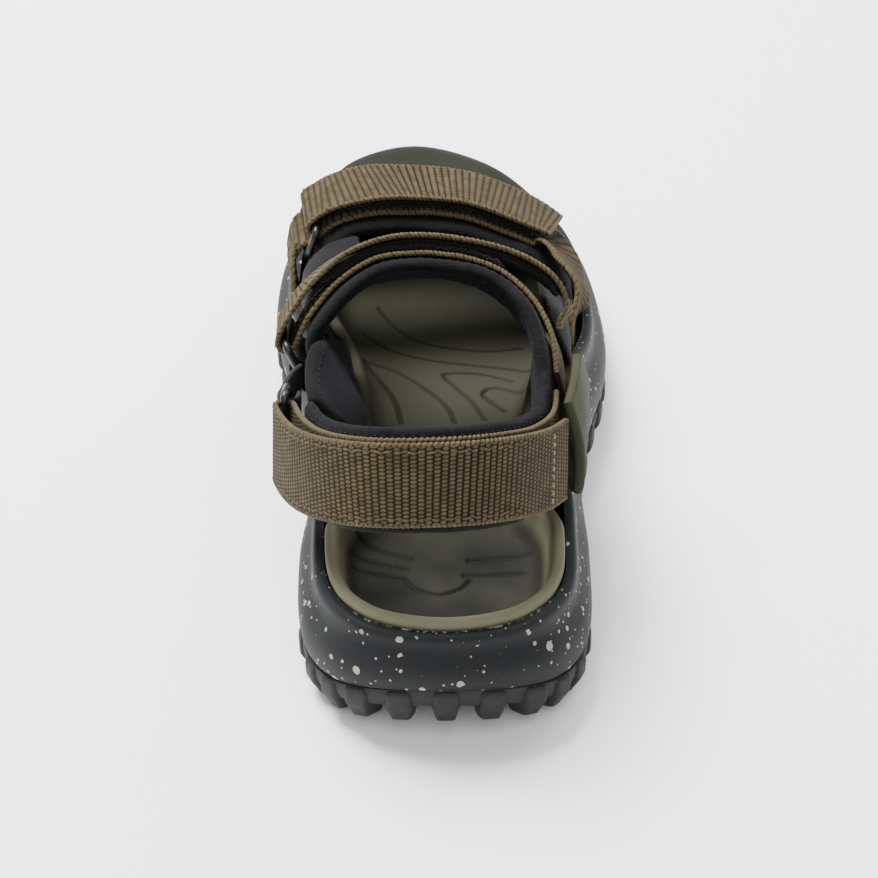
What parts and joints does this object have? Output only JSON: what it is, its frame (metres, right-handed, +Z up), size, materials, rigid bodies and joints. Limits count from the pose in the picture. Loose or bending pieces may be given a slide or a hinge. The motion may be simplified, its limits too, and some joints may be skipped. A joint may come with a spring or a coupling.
{
  "type": "sport sandal",
  "caption": "Closed-toe strappy sport sandal for a right foot: lugged rubber sole, moulded footbed, padded linings and webbing straps that close through rings with hook and loop tape.",
  "frame": {"origin": "under the middle of the sandal, on the ground", "axes": "+Y towards the toe, +X towards the outside of the foot, +Z up"},
  "size_m": [0.107, 0.268, 0.0952],
  "materials": {
    "rubber": "matte moulded rubber",
    "foam": "matte speckled foam",
    "footbed": "satin moulded foam",
    "board": "plain fibre board",
    "nylon": "matte",
    "moulded": "satin moulded",
    "lining": "matte knit face over foam",
    "webbing": "ribbed webbing",
    "tape": "hook and loop pile",
    "ring": "satin coated wire"
  },
  "bodies": {
    "sandal": {"outsole": "rubber", "midsole": "foam", "insole_board": "board", "footbed": "footbed", "toe_cap": "moulded", "lateral_wing": "moulded", "medial_wing": "nylon", "forefoot_lining": "lining", "instep_lining": "lining", "heel_lining": "lining", "medial_collar": "lining", "lateral_collar": "lining", "medial_quarter": "lining", "lateral_quarter": "lining", "forefoot_strap": "webbing", "forefoot_loop_tape": "tape", "forefoot_anchor": "webbing", "instep_strap": "webbing", "instep_loop_tape": "tape", "instep_anchor": "nylon", "heel_strap": "webbing", "heel_loop_tape": "tape", "heel_anchor": "nylon"},
    "forefoot_flap_body": {"forefoot_flap": "webbing", "forefoot_hook_tape": "tape"},
    "forefoot_grip_body": {"forefoot_grip": "webbing"},
    "forefoot_ring_body": {"forefoot_ring": "ring"},
    "instep_flap_body": {"instep_flap": "webbing", "instep_hook_tape": "tape"},
    "instep_grip_body": {"instep_grip": "webbing"},
    "instep_ring_body": {"instep_ring": "ring"},
    "heel_flap_body": {"heel_flap": "webbing", "heel_hook_tape": "tape"},
    "heel_grip_body": {"heel_grip": "webbing"},
    "heel_ring_body": {"heel_ring": "ring"}
  },
  "joints": [
    {"name": "forefoot_peel", "type": "hinge", "parent": "sandal", "child": "forefoot_flap_body", "pos_m": [-0.04217, 0.05385, 0.06381], "axis": [0.0999, -0.9889, 0.1099], "range_deg": [0, 140]},
    {"name": "forefoot_grip_bend", "type": "hinge", "parent": "forefoot_flap_body", "child": "forefoot_grip_body", "pos_m": [0.0307, 0.0583, 0.05773], "axis": [-0.0997, -0.9768, 0.1894], "range_deg": [0, 60]},
    {"name": "forefoot_ring_rock", "type": "hinge", "parent": "sandal", "child": "forefoot_ring_body", "pos_m": [-0.04022, 0.05371, 0.06086], "axis": [-0.0999, 0.9889, -0.1099], "range_deg": [-2, 2]},
    {"name": "instep_peel", "type": "hinge", "parent": "sandal", "child": "instep_flap_body", "pos_m": [-0.04975, -0.01651, 0.06532], "axis": [0, -0.9536, 0.3011], "range_deg": [0, 140]},
    {"name": "instep_grip_bend", "type": "hinge", "parent": "instep_flap_body", "child": "instep_grip_body", "pos_m": [0.03705, -0.00991, 0.07305], "axis": [0.01, -0.853, 0.5218], "range_deg": [0, 60]},
    {"name": "instep_ring_rock", "type": "hinge", "parent": "sandal", "child": "instep_ring_body", "pos_m": [-0.04658, -0.01701, 0.06381], "axis": [0, 0.9507, -0.3102], "range_deg": [-2, 2]},
    {"name": "heel_peel", "type": "hinge", "parent": "sandal", "child": "heel_flap_body", "pos_m": [-0.04972, -0.06797, 0.06108], "axis": [-0.02, -0.2707, -0.9625], "range_deg": [0, 140]},
    {"name": "heel_grip_bend", "type": "hinge", "parent": "heel_flap_body", "child": "heel_grip_body", "pos_m": [0.02567, -0.09855, 0.07236], "axis": [-0.07, -0.47, -0.8799], "range_deg": [0, 60]},
    {"name": "heel_ring_rock", "type": "hinge", "parent": "sandal", "child": "heel_ring_body", "pos_m": [-0.04623, -0.06735, 0.06081], "axis": [0.02, 0.2707, 0.9625], "range_deg": [-2, 2]}
  ]
}
